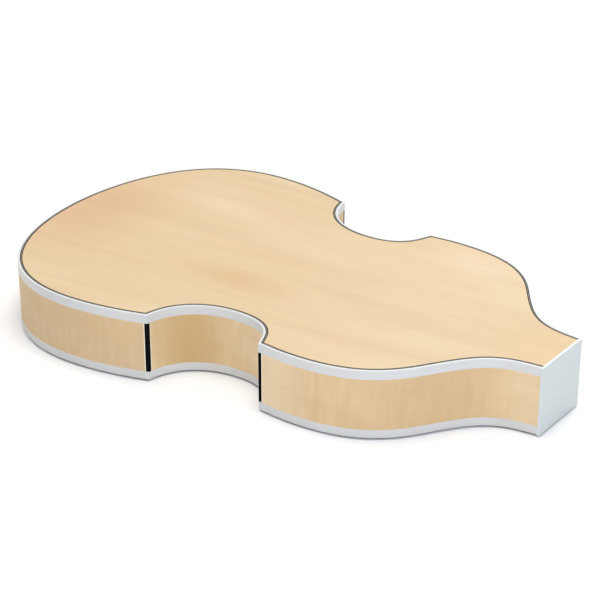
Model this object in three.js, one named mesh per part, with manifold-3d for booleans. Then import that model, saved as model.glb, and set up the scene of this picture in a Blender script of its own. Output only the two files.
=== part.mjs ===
// Bare sound box of a violin-shaped string instrument: a flat back, a flat front with two sound
// holes, ribs bent to the outline, and the blocks, linings and braces that hold them from inside.
// Millimetres. The box lies on its front: +X runs from the tail to the neck end, +Z goes up
// through the back. The origin is the middle of the box's length and width, under the front.

import * as THREE from "three";
import { mergeVertices } from "three/addons/utils/BufferGeometryUtils.js";
import Module from "manifold-3d";

// ---------------------------------------------------------------- sizes of the whole box
const BODY_LENGTH = 454.5; // tail to the outer face of the end cap
const BODY_DEPTH = 54; // outer face of the front to outer face of the back
const LOWER_BOUT_WIDTH = 280;
const LOWER_CORNER_WIDTH = 253.6; // tip to tip
const WAIST_WIDTH = 169;
const UPPER_CORNER_WIDTH = 228; // tip to tip
const UPPER_BOUT_WIDTH = 232;
const SHOULDER_WIDTH = 148; // where the shoulder curve turns hollow
const NECK_END_WIDTH = 56;

// Distances from the tail along the length, and one from the neck end.
const LOWER_BOUT_FROM_TAIL = 109.8;
const LOWER_CORNER_FROM_TAIL = 180.3;
const WAIST_FROM_TAIL = 232.7;
const UPPER_CORNER_FROM_TAIL = 272;
const UPPER_BOUT_FROM_TAIL = 298.5;
const SHOULDER_FROM_NECK_END = 66.2;

// ---------------------------------------------------------------- sizes of the pieces
const BACK_THICKNESS = 3;
const FRONT_THICKNESS = 3.2;
const RIB_THICKNESS = 2.4;
const BINDING_THICKNESS = 1.8;
const BINDING_HEIGHT = 7;
const PURFLING_WIDTH = 1.8;
const PURFLING_DEPTH = 2;
const END_CAP_THICKNESS = 1.8;

const CORNER_STRIP_LEGS = { lower: 2.4, upper: 3 }; // how far a black strip reaches along each rib
const CORNER_STRIP_DEPTH = 1.2;
const PINSTRIPE_WIDTH = 0.6;

const LINING_WIDTH = 5;
const LINING_HEIGHT = 12;
const CORNER_BLOCK_LEG = 22; // along each rib, from the corner
const CORNER_BLOCK_THICKNESS = 12;
const TAIL_BLOCK_REACH = 38; // along the rib, each side of the middle
const TAIL_BLOCK_THICKNESS = 25;
const NECK_BLOCK_REACH = 72; // along the rib, from the neck end

const BRACE_WIDTH = 7;
const BRACE_HEIGHT = 11;
const BRACE_TIP_HEIGHT = 3;
const BRACE_TAPER = 24; // length of the sloped end
const TONE_BAR_WIDTH = 6;
const TONE_BAR_SPACING = 64; // middle to middle, across the box
const TONE_BAR_TAIL_MARGIN = 76; // from the tail to the end of the bar
const TONE_BAR_NECK_MARGIN = 96; // from the neck end to the end of the bar

const SOUND_HOLE_LENGTH = 88; // of the stem's middle line, tip to tip
const SOUND_HOLE_STEM_WIDTH = 6;
const SOUND_HOLE_TIP_WIDTH = 2.6;
const SOUND_HOLE_HOOK_RADIUS = 7;
const SOUND_HOLE_SPREAD = 120; // middle of one stem to middle of the other
const SOUND_HOLE_SLANT = 5; // degrees that the stems open out towards the tail
const UPPER_EYE_DIAMETER = 9;
const LOWER_EYE_DIAMETER = 12;

const GLUE = 0.1; // gap left between glued faces
const BRACE_END_GAP = 0.3;

// ---------------------------------------------------------------- fineness of the facets
const BOUT_FACET = 12;
const WAIST_FACET = 8;
const HOLE_STEPS = 36;
const EYE_SIDES = 16;

// ---------------------------------------------------------------- places worked out once
const TAIL_X = -BODY_LENGTH / 2;
const CAP_FACE_X = BODY_LENGTH / 2;
const WOOD_END_X = CAP_FACE_X - END_CAP_THICKNESS - GLUE;
const BACK_INNER_Z = BODY_DEPTH - BACK_THICKNESS;
const INNER_FLOOR_Z = FRONT_THICKNESS + GLUE;
const INNER_ROOF_Z = BACK_INNER_Z - GLUE;
const RIB_LOW_Z = BINDING_HEIGHT + GLUE;
const RIB_HIGH_Z = BODY_DEPTH - BINDING_HEIGHT - GLUE;

// Depths below the outer surface of the sides, counted inwards.
const PURFLING_OUTSIDE = BINDING_THICKNESS + GLUE;
const PURFLING_INSIDE = PURFLING_OUTSIDE + PURFLING_WIDTH;
const PLATE_INSIDE_PURFLING = PURFLING_INSIDE + GLUE;
const INSIDE_RIB = RIB_THICKNESS + GLUE;

const wasm = await Module();
wasm.setup();

// ---------------------------------------------------------------- outline
// A curve that leaves one point and arrives at the next at given headings, in degrees from +X.
// The pulls are the handles' lengths as shares of the distance between the two points.
function bend(start, startHeading, startPull, end, endHeading, endPull) {
  const reach = start.distanceTo(end);
  const leave = direction(startHeading).multiplyScalar(startPull * reach);
  const arrive = direction(endHeading).multiplyScalar(endPull * reach);
  return new THREE.CubicBezierCurve(start, leave.add(start), end.clone().sub(arrive), end);
}

function direction(degrees) {
  const angle = THREE.MathUtils.degToRad(degrees);
  return new THREE.Vector2(Math.cos(angle), Math.sin(angle));
}

function outlinePoint(fromTail, width) {
  return new THREE.Vector2(TAIL_X + fromTail, width / 2);
}

// The left half of the outline, from the tail to the neck end, in its three runs.
function outlineCurves() {
  const tail = outlinePoint(0, 0);
  const lowerBout = outlinePoint(LOWER_BOUT_FROM_TAIL, LOWER_BOUT_WIDTH);
  const lowerCorner = outlinePoint(LOWER_CORNER_FROM_TAIL, LOWER_CORNER_WIDTH);
  const waist = outlinePoint(WAIST_FROM_TAIL, WAIST_WIDTH);
  const upperCorner = outlinePoint(UPPER_CORNER_FROM_TAIL, UPPER_CORNER_WIDTH);
  const upperBout = outlinePoint(UPPER_BOUT_FROM_TAIL, UPPER_BOUT_WIDTH);
  const shoulder = new THREE.Vector2(WOOD_END_X - SHOULDER_FROM_NECK_END, SHOULDER_WIDTH / 2);
  const neckEnd = new THREE.Vector2(WOOD_END_X, NECK_END_WIDTH / 2);
  return {
    lower: [
      bend(tail, 90, 0.26, lowerBout, 0, 0.52),
      bend(lowerBout, 0, 0.4, lowerCorner, -19, 0.25),
    ],
    waist: [
      bend(lowerCorner, -83, 0.43, waist, 0, 0.385),
      bend(waist, 0, 0.7, upperCorner, 58, 0.155),
    ],
    upper: [
      bend(upperCorner, 4, 0.38, upperBout, 0, 0.45),
      bend(upperBout, 0, 0.46, shoulder, -56, 0.35),
      bend(shoulder, -56, 0.53, neckEnd, -4, 0.43),
    ],
  };
}

// Points along joined curves, about one facet apart.
function pointsAlong(curves, facet) {
  const points = [curves[0].getPoint(0)];
  for (const curve of curves) {
    const steps = Math.ceil(curve.getLength() / facet);
    points.push(...curve.getSpacedPoints(steps).slice(1));
  }
  return points;
}

// The unit vector that points into the box from the stretch between two outline points.
function inwardNormal(from, to) {
  return new THREE.Vector2(to.y - from.y, from.x - to.x).normalize();
}

// The vector that moves a point of the outline inwards by one millimetre on both its sides.
function mitre(before, after) {
  return before.clone().add(after).divideScalar(1 + before.dot(after));
}

// A run is a list of stations, each a point and the mitre vector there. At the tail the vector
// lies along the middle line, and at the neck end it stays in the plane of the end face.
function makeRuns() {
  const curves = outlineCurves();
  const facets = { lower: BOUT_FACET, waist: WAIST_FACET, upper: BOUT_FACET };
  const parts = Object.keys(curves).map((name) => pointsAlong(curves[name], facets[name]));
  const points = parts.flatMap((part, i) => (i ? part.slice(1) : part));
  const normals = points.slice(1).map((point, i) => inwardNormal(points[i], point));
  const mirroredFirst = new THREE.Vector2(normals[0].x, -normals[0].y);
  const inward = points.map((_, i) => {
    if (i === 0) return mitre(mirroredFirst, normals[0]);
    if (i === normals.length) return new THREE.Vector2(0, 1 / normals[i - 1].y);
    return mitre(normals[i - 1], normals[i]);
  });
  const stations = points.map((point, i) => ({ point, inward: inward[i] }));
  const lowerEnd = parts[0].length - 1;
  const waistEnd = lowerEnd + parts[1].length - 1;
  return {
    lower: stations.slice(0, lowerEnd + 1),
    waist: stations.slice(lowerEnd, waistEnd + 1),
    upper: stations.slice(waistEnd),
  };
}

const RUNS = makeRuns();
const HALF_OUTLINE = [...RUNS.lower, ...RUNS.waist.slice(1), ...RUNS.upper.slice(1)];

// ---------------------------------------------------------------- spans and rails
// Cuts a length off the start of a span. A mitred end keeps the slant of the old end, and a
// square one is cut at a right angle to the outline.
function trimStart(span, length, mitred) {
  if (length === 0) return span;
  let rest = length;
  let i = 0;
  let step = span[0].point.distanceTo(span[1].point);
  while (rest >= step) {
    rest -= step;
    i += 1;
    step = span[i].point.distanceTo(span[i + 1].point);
  }
  const point = span[i].point.clone().lerp(span[i + 1].point, rest / step);
  const square = inwardNormal(span[i].point, span[i + 1].point);
  const sameSide = Math.sign(square.dot(span[i].inward));
  const inward = mitred ? span[0].inward : square.multiplyScalar(sameSide);
  return [{ point, inward }, ...span.slice(i + 1)];
}

const backwards = (span) => span.slice().reverse();

function trim(span, startLength, endLength, mitred = false) {
  const shortened = trimStart(span, startLength, mitred);
  return backwards(trimStart(backwards(shortened), endLength, mitred));
}

// The stations nearest the start, or nearest the end, as far as a length along the outline.
function firstPart(span, length) {
  return trim(span, 0, spanLength(span) - length);
}

function lastPart(span, length) {
  return trim(span, spanLength(span) - length, 0);
}

function spanLength(span) {
  return span.slice(1).reduce((sum, s, i) => sum + s.point.distanceTo(span[i].point), 0);
}

const flip = (v) => new THREE.Vector2(v.x, -v.y);

function mirrored(span) {
  return span.map(({ point, inward }) => ({ point: flip(point), inward: flip(inward) }));
}

// A span on the left, continued round the tail by the same span on the right.
function roundTheTail(span) {
  return [...backwards(mirrored(span)), ...span.slice(1)];
}

const rail = (span, depth) => span.map((s) => s.point.clone().addScaledVector(s.inward, depth));

// ---------------------------------------------------------------- solids
// A flat outline made solid from one height to another.
function slab(points, lowZ, highZ) {
  const shape = new THREE.Shape(points);
  const geometry = new THREE.ExtrudeGeometry(shape, { depth: highZ - lowZ, bevelEnabled: false });
  return geometry.translate(0, 0, lowZ);
}

// A band that follows a span, between two depths below the outer surface of the sides.
function band(span, outside, inside, lowZ, highZ) {
  return slab([...rail(span, outside), ...rail(span, inside).reverse()], lowZ, highZ);
}

function toSolid(geometry) {
  const bare = new THREE.BufferGeometry();
  bare.setAttribute("position", geometry.getAttribute("position"));
  if (geometry.index) bare.setIndex(geometry.index);
  const merged = mergeVertices(bare, 1e-4);
  const mesh = new wasm.Mesh({
    numProp: 3,
    vertProperties: merged.getAttribute("position").array,
    triVerts: new Uint32Array(merged.index.array),
  });
  return new wasm.Manifold(mesh);
}

function toGeometry(solid) {
  const mesh = solid.getMesh();
  const geometry = new THREE.BufferGeometry();
  geometry.setAttribute("position", new THREE.BufferAttribute(mesh.vertProperties, 3));
  geometry.setIndex(new THREE.BufferAttribute(mesh.triVerts, 1));
  const faceted = geometry.toNonIndexed();
  faceted.computeVertexNormals();
  return faceted;
}

function join(first, ...others) {
  return toGeometry(others.reduce((sum, other) => sum.add(toSolid(other)), toSolid(first)));
}

function cut(first, ...others) {
  return toGeometry(others.reduce((rest, other) => rest.subtract(toSolid(other)), toSolid(first)));
}

// ---------------------------------------------------------------- materials
const matte = (color, roughness) =>
  new THREE.MeshStandardMaterial({ color, roughness, metalness: 0 });

const MAPLE = matte(0xeed6ad, 0.5);
const RIB_MAPLE = matte(0xd9c29a, 0.5);
const SPRUCE = matte(0xe8cf9e, 0.55);
const BLOCK_WOOD = matte(0xdcc08e, 0.6);
const WHITE_PLASTIC = matte(0xf2f3f5, 0.3);
const BLACK_PLASTIC = matte(0x1b1a19, 0.35);
const PURFLING_PLY = matte(0x6e6a66, 0.4);

const box = new THREE.Group();

function add(name, geometry, material) {
  const mesh = new THREE.Mesh(geometry, material);
  mesh.name = name;
  box.add(mesh);
}

// The same piece on both sides; build gets a function that puts a span on that side.
function addPair(name, material, build) {
  add(`${name}_left`, build((span) => span), material);
  add(`${name}_right`, build(mirrored), material);
}

// ---------------------------------------------------------------- plates
// The whole outline at one depth, ends meeting at the tail.
function wholeOutline(depth) {
  const half = rail(HALF_OUTLINE, depth);
  return [...half, ...half.slice(1).reverse().map(flip)];
}

// A plate is stepped at its edge: the purfling lies on the step, and the binding is outside it.
// outerZ is its outer face and innerZ the face towards the inside of the box.
function plate(outerZ, innerZ) {
  const outwards = Math.sign(outerZ - innerZ);
  const stepZ = outerZ - outwards * (PURFLING_DEPTH + GLUE);
  const wide = wholeOutline(PURFLING_OUTSIDE);
  const narrow = wholeOutline(PLATE_INSIDE_PURFLING);
  return join(
    slab(wide, Math.min(innerZ, stepZ), Math.max(innerZ, stepZ)),
    slab(narrow, Math.min(innerZ, outerZ), Math.max(innerZ, outerZ)),
  );
}

// ---------------------------------------------------------------- sound holes
// The middle line of a sound hole lying along X: from the upper eye round a half-round hook,
// straight down the stem, and round the other hook to the lower eye.
function soundHoleLine() {
  const radius = SOUND_HOLE_HOOK_RADIUS;
  const stem = SOUND_HOLE_LENGTH / 2 - radius;
  const right = Math.PI / 2;
  const stemEnds = [new THREE.Vector2(stem, 0), new THREE.Vector2(-stem, 0)];
  const line = new THREE.CurvePath();
  line.add(new THREE.EllipseCurve(stem, -radius, radius, radius, -right, right));
  line.add(new THREE.LineCurve(...stemEnds));
  line.add(new THREE.EllipseCurve(-stem, radius, radius, radius, -right, right, true));
  return line;
}

// Puts a point of that line in its place beside the middle line of the box, on one side of it.
function placeInFront(point, side) {
  const slant = THREE.MathUtils.degToRad(-SOUND_HOLE_SLANT);
  const middle = new THREE.Vector2(TAIL_X + WAIST_FROM_TAIL, SOUND_HOLE_SPREAD / 2);
  const placed = point.clone().rotateAround(new THREE.Vector2(), slant).add(middle);
  return side < 0 ? flip(placed) : placed;
}

// The stem swells from its tips to its middle, and each end opens into a round eye.
function soundHole(lowZ, highZ, side) {
  const line = soundHoleLine();
  const outer = [];
  const inner = [];
  for (let i = 0; i <= HOLE_STEPS; i += 1) {
    const t = i / HOLE_STEPS;
    const swell = (SOUND_HOLE_STEM_WIDTH - SOUND_HOLE_TIP_WIDTH) * Math.sin(Math.PI * t);
    const halfWidth = (SOUND_HOLE_TIP_WIDTH + swell) / 2;
    const tangent = line.getTangent(t);
    const across = new THREE.Vector2(-tangent.y, tangent.x);
    outer.push(line.getPoint(t).addScaledVector(across, halfWidth));
    inner.push(line.getPoint(t).addScaledVector(across, -halfWidth));
  }
  const onSide = (points) => points.map((point) => placeInFront(point, side));
  return join(
    slab(onSide([...outer, ...inner.reverse()]), lowZ, highZ),
    slab(onSide(circle(line.getPoint(0), UPPER_EYE_DIAMETER)), lowZ, highZ),
    slab(onSide(circle(line.getPoint(1), LOWER_EYE_DIAMETER)), lowZ, highZ),
  );
}

function circle(centre, diameter) {
  const arc = new THREE.EllipseCurve(centre.x, centre.y, diameter / 2, diameter / 2);
  return arc.getPoints(EYE_SIDES).slice(1);
}

function frontPlate() {
  const holes = [1, -1].map((side) => soundHole(-1, FRONT_THICKNESS + 1, side));
  return cut(plate(0, FRONT_THICKNESS), ...holes);
}

add("back_plate", plate(BODY_DEPTH, BACK_INNER_Z), MAPLE);
add("front_plate", frontPlate(), SPRUCE);

// ---------------------------------------------------------------- ribs
// A rib keeps its whole thickness between the bindings, and is rabbeted above and below to let
// them in. Ribs stop short of the corners, where the corner strips are let in, and the two
// lower ribs meet at the tail.
function cornerTrim(corner) {
  return CORNER_STRIP_LEGS[corner] + PINSTRIPE_WIDTH;
}

const RIB_SPANS = {
  lower: trim(trim(RUNS.lower, GLUE / 2, 0, true), 0, cornerTrim("lower") + GLUE),
  waist: trim(RUNS.waist, cornerTrim("lower") + GLUE, cornerTrim("upper") + GLUE),
  upper: trim(RUNS.upper, cornerTrim("upper") + GLUE, 0),
};

function rib(span) {
  return join(
    band(span, 0, RIB_THICKNESS, RIB_LOW_Z, RIB_HIGH_Z),
    band(span, PURFLING_OUTSIDE, RIB_THICKNESS, INNER_FLOOR_Z, INNER_ROOF_Z),
  );
}

for (const [run, span] of Object.entries(RIB_SPANS)) {
  addPair(`${run}_rib`, RIB_MAPLE, (onSide) => rib(onSide(span)));
}

// ---------------------------------------------------------------- bindings and purflings
// One strip bends round the whole lower bout; the others stop at mitred corners. The purfling
// follows each binding on its inside, let into the face of the plate.
const EDGE_SPANS = {
  lower: trim(RUNS.lower, 0, GLUE / 2, true),
  waist: trim(RUNS.waist, GLUE / 2, GLUE / 2, true),
  upper: trim(RUNS.upper, GLUE / 2, 0, true),
};

function addEdge(name, material, build) {
  add(name.replace("RUN", "lower"), build(roundTheTail(EDGE_SPANS.lower)), material);
  for (const run of ["waist", "upper"]) {
    addPair(name.replace("RUN", run), material, (onSide) => build(onSide(EDGE_SPANS[run])));
  }
}

const binding = (lowZ) => (span) =>
  band(span, 0, BINDING_THICKNESS, lowZ, lowZ + BINDING_HEIGHT);
const purfling = (lowZ) => (span) =>
  band(span, PURFLING_OUTSIDE, PURFLING_INSIDE, lowZ, lowZ + PURFLING_DEPTH);

addEdge("back_RUN_binding", WHITE_PLASTIC, binding(BODY_DEPTH - BINDING_HEIGHT));
addEdge("front_RUN_binding", WHITE_PLASTIC, binding(0));
addEdge("back_RUN_purfling", PURFLING_PLY, purfling(BODY_DEPTH - PURFLING_DEPTH));
addEdge("front_RUN_purfling", PURFLING_PLY, purfling(0));

// ---------------------------------------------------------------- corner strips
// The span that runs over a corner, as far on each side as the given length.
function overCorner(before, after, length) {
  return [...lastPart(before, length), ...firstPart(after, length).slice(1)];
}

const CORNERS = { lower: [RUNS.lower, RUNS.waist], upper: [RUNS.waist, RUNS.upper] };

function cornerStrip(span) {
  return band(span, 0, CORNER_STRIP_DEPTH, RIB_LOW_Z, RIB_HIGH_Z);
}

// The light pinstripe shows on both sides of the black strip and is one piece behind it.
function cornerPinstripe(span, stripSpan) {
  const clear = GLUE / 2;
  const groove = [...rail(stripSpan, -1), ...rail(stripSpan, CORNER_STRIP_DEPTH + clear).reverse()];
  return cut(
    band(span, 0, RIB_THICKNESS, RIB_LOW_Z, RIB_HIGH_Z),
    slab(groove, RIB_LOW_Z - 1, RIB_HIGH_Z + 1),
  );
}

for (const [corner, [before, after]] of Object.entries(CORNERS)) {
  const strip = overCorner(before, after, CORNER_STRIP_LEGS[corner] - GLUE / 2);
  const groove = overCorner(before, after, CORNER_STRIP_LEGS[corner]);
  const whole = overCorner(before, after, cornerTrim(corner));
  addPair(`${corner}_corner_strip`, BLACK_PLASTIC, (onSide) => cornerStrip(onSide(strip)));
  addPair(`${corner}_corner_pinstripe`, WHITE_PLASTIC, (onSide) =>
    cornerPinstripe(onSide(whole), onSide(groove)),
  );
}

// ---------------------------------------------------------------- end cap
function endCap() {
  const sheet = new THREE.BoxGeometry(END_CAP_THICKNESS, NECK_END_WIDTH, BODY_DEPTH);
  return sheet.translate(CAP_FACE_X - END_CAP_THICKNESS / 2, 0, BODY_DEPTH / 2);
}

add("end_cap", endCap(), WHITE_PLASTIC);

// ---------------------------------------------------------------- blocks
function block(points) {
  return slab(points, INNER_FLOOR_Z, INNER_ROOF_Z);
}

// A block against the ribs, with an inner face drawn straight between its two ends.
function blockAlong(span, thickness) {
  const back = rail([span[0], span[span.length - 1]], INSIDE_RIB + thickness);
  return block([...rail(span, INSIDE_RIB), back[1], back[0]]);
}

function neckBlock() {
  const side = rail(lastPart(RUNS.upper, NECK_BLOCK_REACH), INSIDE_RIB);
  return block([...side, ...side.slice().reverse().map(flip)]);
}

const tailSpan = roundTheTail(firstPart(RUNS.lower, TAIL_BLOCK_REACH));
add("neck_block", neckBlock(), BLOCK_WOOD);
add("tail_block", blockAlong(tailSpan, TAIL_BLOCK_THICKNESS), BLOCK_WOOD);
for (const [corner, [before, after]] of Object.entries(CORNERS)) {
  const span = overCorner(before, after, CORNER_BLOCK_LEG);
  addPair(`${corner}_corner_block`, BLOCK_WOOD, (onSide) =>
    blockAlong(onSide(span), CORNER_BLOCK_THICKNESS),
  );
}

// ---------------------------------------------------------------- linings
// Linings widen the glued joint between a rib and a plate, and run from block to block.
const LINING_TRIMS = {
  lower: [TAIL_BLOCK_REACH + GLUE, CORNER_BLOCK_LEG + GLUE],
  waist: [CORNER_BLOCK_LEG + GLUE, CORNER_BLOCK_LEG + GLUE],
  upper: [CORNER_BLOCK_LEG + GLUE, NECK_BLOCK_REACH + GLUE],
};
const LINING_HEIGHTS = {
  back: INNER_ROOF_Z - LINING_HEIGHT,
  front: INNER_FLOOR_Z,
};

function lining(span, lowZ) {
  return band(span, INSIDE_RIB, INSIDE_RIB + LINING_WIDTH, lowZ, lowZ + LINING_HEIGHT);
}

for (const [plateName, lowZ] of Object.entries(LINING_HEIGHTS)) {
  for (const [run, [start, end]] of Object.entries(LINING_TRIMS)) {
    addPair(`${plateName}_${run}_lining`, SPRUCE, (onSide) =>
      lining(onSide(trim(RUNS[run], start, end)), lowZ),
    );
  }
}

// ---------------------------------------------------------------- braces and tone bars
// Half the clear width between the linings on the stretch from one x to another.
function clearHalfWidth(fromX, toX) {
  const wall = rail(HALF_OUTLINE, INSIDE_RIB + LINING_WIDTH);
  const widths = [fromX, toX].map((x) => widthAt(wall, x));
  const between = wall.filter((p) => p.x > fromX && p.x < toX).map((p) => p.y);
  return Math.min(...widths, ...between);
}

function widthAt(wall, x) {
  const crossings = [];
  wall.slice(1).forEach((to, i) => {
    const from = wall[i];
    if ((from.x - x) * (to.x - x) > 0 || from.x === to.x) return;
    crossings.push(from.y + ((to.y - from.y) * (x - from.x)) / (to.x - from.x));
  });
  return Math.min(...crossings);
}

// The side view of a bar that is full height in its middle and slopes down to its tips.
function barProfile(length) {
  const half = length / 2;
  const taper = Math.min(BRACE_TAPER, half / 2);
  return new THREE.Shape([
    new THREE.Vector2(-half, 0),
    new THREE.Vector2(half, 0),
    new THREE.Vector2(half, BRACE_TIP_HEIGHT),
    new THREE.Vector2(half - taper, BRACE_HEIGHT),
    new THREE.Vector2(taper - half, BRACE_HEIGHT),
    new THREE.Vector2(-half, BRACE_TIP_HEIGHT),
  ]);
}

// A bar of that profile that stands on the front, lies along X and is centred on the Y axis.
function bar(length, width) {
  const options = { depth: width, bevelEnabled: false };
  const geometry = new THREE.ExtrudeGeometry(barProfile(length), options);
  return geometry.rotateX(Math.PI / 2).translate(0, width / 2, INNER_FLOOR_Z);
}

// A brace hangs from the back across the box: a bar turned over and turned sideways.
function brace(x) {
  const halfLength = clearHalfWidth(x - BRACE_WIDTH / 2, x + BRACE_WIDTH / 2) - BRACE_END_GAP;
  const geometry = bar(2 * halfLength, BRACE_WIDTH);
  geometry.rotateX(Math.PI);
  geometry.rotateZ(Math.PI / 2);
  return geometry.translate(x, 0, INNER_ROOF_Z + INNER_FLOOR_Z);
}

function toneBar(side) {
  const startX = TAIL_X + TONE_BAR_TAIL_MARGIN;
  const endX = WOOD_END_X - TONE_BAR_NECK_MARGIN;
  const geometry = bar(endX - startX, TONE_BAR_WIDTH);
  return geometry.translate((startX + endX) / 2, (side * TONE_BAR_SPACING) / 2, 0);
}

const BRACES = {
  lower: TAIL_X + LOWER_BOUT_FROM_TAIL,
  middle: TAIL_X + WAIST_FROM_TAIL,
  upper: TAIL_X + UPPER_BOUT_FROM_TAIL + BRACE_WIDTH,
};
for (const [name, x] of Object.entries(BRACES)) {
  add(`back_brace_${name}`, brace(x), SPRUCE);
}
add("front_tone_bar_left", toneBar(1), SPRUCE);
add("front_tone_bar_right", toneBar(-1), SPRUCE);

export default box;
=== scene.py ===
# %% [markdown]
# # A bare sound box with a violin outline
#
# The object is the hollow body of a string instrument before its neck, strings and finish: a flat
# maple back, bent maple ribs, white plastic binding round both rims, a black, white and black
# purfling line inside the binding, black strips down the four corners and a white sheet over the
# neck end. It lies on its front, so the back is what we look at.
#
# The plan is the one a maker follows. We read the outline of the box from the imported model, turn
# it into smooth curves, and bend every piece along those curves with numpy. Then each piece gets
# the finish of its real material, and last come the floor, the light and the camera.

# %% Load the frame and keep its box
import math

import bmesh
import bpy
import numpy as np
from mathutils import Matrix, Vector


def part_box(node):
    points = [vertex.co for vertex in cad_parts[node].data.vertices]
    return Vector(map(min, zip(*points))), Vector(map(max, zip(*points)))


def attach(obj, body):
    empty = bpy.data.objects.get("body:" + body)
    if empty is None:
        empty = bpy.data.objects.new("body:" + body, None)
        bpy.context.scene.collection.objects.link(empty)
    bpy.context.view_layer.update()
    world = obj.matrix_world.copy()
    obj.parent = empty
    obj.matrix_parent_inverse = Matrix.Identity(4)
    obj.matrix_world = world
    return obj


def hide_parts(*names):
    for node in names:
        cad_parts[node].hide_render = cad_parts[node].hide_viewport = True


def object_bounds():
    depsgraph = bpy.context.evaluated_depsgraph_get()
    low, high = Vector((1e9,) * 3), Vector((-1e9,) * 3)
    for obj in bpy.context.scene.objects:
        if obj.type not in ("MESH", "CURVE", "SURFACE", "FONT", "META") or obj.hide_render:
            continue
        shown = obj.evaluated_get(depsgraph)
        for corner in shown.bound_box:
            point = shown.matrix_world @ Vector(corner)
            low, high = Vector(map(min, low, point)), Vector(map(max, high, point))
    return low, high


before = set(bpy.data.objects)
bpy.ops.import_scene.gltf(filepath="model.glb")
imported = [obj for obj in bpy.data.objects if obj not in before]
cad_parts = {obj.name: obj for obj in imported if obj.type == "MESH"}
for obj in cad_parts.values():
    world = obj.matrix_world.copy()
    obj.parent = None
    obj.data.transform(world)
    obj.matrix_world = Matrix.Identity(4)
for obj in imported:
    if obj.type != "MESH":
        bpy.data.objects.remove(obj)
cad_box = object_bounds()

MM = 0.001
LEVEL = 0.001  # heights and places nearer to each other than this, in mm, count as the same
box_low, box_high = (np.array(corner) / MM for corner in cad_box)
print("packed nodes:", len(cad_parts))
print("box of the packed model, mm:", box_low.round(2), box_high.round(2))

# %% [markdown]
# ## Reading the outline
#
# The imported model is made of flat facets, and each facet corner lies on the true outline. A
# plate's bottom face is fenced by upright faces, so the edges that belong to one upright triangle
# and lie in the bottom plane are exactly the outline. Each such edge says which corner comes
# next, and following them gives the corners in order. A plate with holes gives one loop more for
# each hole.

# %% Read the closed loops round the bottom of a node
def node_triangles(name):
    """The corners of a node's triangles as an array of triangles x 3 corners x 3 numbers, in mm."""
    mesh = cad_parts[name].data
    places = np.empty(len(mesh.vertices) * 3)
    mesh.vertices.foreach_get("co", places)
    mesh.calc_loop_triangles()
    corners = np.empty(len(mesh.loop_triangles) * 3, int)
    mesh.loop_triangles.foreach_get("vertices", corners)
    return places.reshape(-1, 3)[corners].reshape(-1, 3, 3) / MM


def bottom_loops(name):
    """The loops of points round a node's bottom plane, longest first, each an array of x, y."""
    triangles = node_triangles(name)
    bottom = triangles[..., 2].min()
    low = np.abs(triangles[..., 2] - bottom) < LEVEL
    upright = triangles[low.sum(1) == 2]
    first = np.argmin(low[low.sum(1) == 2], axis=1)
    rows = np.arange(len(upright))
    starts = upright[rows, (first + 1) % 3, :2].round(3)
    ends = upright[rows, (first + 2) % 3, :2].round(3)
    following = {tuple(a): tuple(b) for a, b in zip(starts.tolist(), ends.tolist())}
    loops = []
    while following:
        point, onward = following.popitem()
        loop = [point]
        while onward in following:
            loop.append(onward)
            onward = following.pop(onward)
        loops.append(np.array(loop))
    return sorted(loops, key=len, reverse=True)


plate_outline = bottom_loops("back_plate")[0]
print("corners on the outline of the back:", len(plate_outline))

# %% [markdown]
# ## From facets to smooth runs
#
# The outline has four corners, and between them the real ribs are bent in one sweep. So the
# outline is cut at its corners, and each run becomes a cubic spline: a curve through all the
# points whose bend changes without a jump. The back is a binding's width smaller than the box,
# so its outline is first moved out to the surface of the sides. Only the left half is read; the
# right half is its mirror image.

# %% Move the outline out to the surface of the sides
def inward_normals(points):
    """The unit vector to the right of each stretch between two points: x and y of the stretch
    swapped, with the second one negated."""
    stretch = np.diff(points, axis=0)
    right = np.stack([stretch[:, 1], -stretch[:, 0]], axis=1)
    return right / np.linalg.norm(right, axis=1, keepdims=True)


def left_half(loop):
    """The points of a closed outline from the tail to the neck end along the side y > 0."""
    ordered = np.roll(loop, -int(np.argmin(loop[:, 0])), axis=0)
    if ordered[1, 1] < 0:
        ordered = np.roll(ordered[::-1], 1, axis=0)
    return ordered[: int(np.argmax(ordered[:, 0] > ordered[:, 0].max() - LEVEL)) + 1]


def moved_inwards(points, depth):
    """Each point moved along its mitre vector, which is (a + b) / (1 + a.b) for the normals a
    and b of the two stretches beside it. At the tail the mirrored stretch is the first one, and
    the neck end stays in its plane."""
    normals = inward_normals(points)
    before = np.vstack([normals[:1] * [1, -1], normals])
    after = np.vstack([normals, normals[-1:]])
    mitre = (before + after) / (1 + (before * after).sum(1, keepdims=True))
    mitre[-1] = [0, 1 / normals[-1, 1]]
    return points + depth * mitre


edge_depth = plate_outline[:, 0].min() - box_low[0]
HAIR = 0.003  # keeps the smooth curve, which swells between the facets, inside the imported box
half_outline = moved_inwards(left_half(plate_outline), HAIR - edge_depth)
print("the back lies", round(edge_depth, 2), "mm inside the surface of the sides")

# %% Fit a spline to each run between two corners
def spline(points):
    """A cubic spline through points. Its parameter t is the distance along the chords. The bend
    m at each point solves h0 m0 + 2 (h0 + h1) m1 + h1 m2 = 6 (slope after - slope before), and
    the bend at each end equals its neighbour's."""
    steps = np.linalg.norm(np.diff(points, axis=0), axis=1)
    slopes = np.diff(points, axis=0) / steps[:, None]
    count = len(points)
    system = np.zeros((count, count))
    inner = np.arange(1, count - 1)
    system[inner, inner - 1] = steps[:-1]
    system[inner, inner] = 2 * (steps[:-1] + steps[1:])
    system[inner, inner + 1] = steps[1:]
    system[0, :2] = [1, -1]
    system[-1, -2:] = [-1, 1]
    wanted = np.zeros((count, 2))
    wanted[1:-1] = 6 * np.diff(slopes, axis=0)
    return {
        "t": np.concatenate([[0], np.cumsum(steps)]),
        "points": points,
        "bend": np.linalg.solve(system, wanted),
    }


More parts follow.
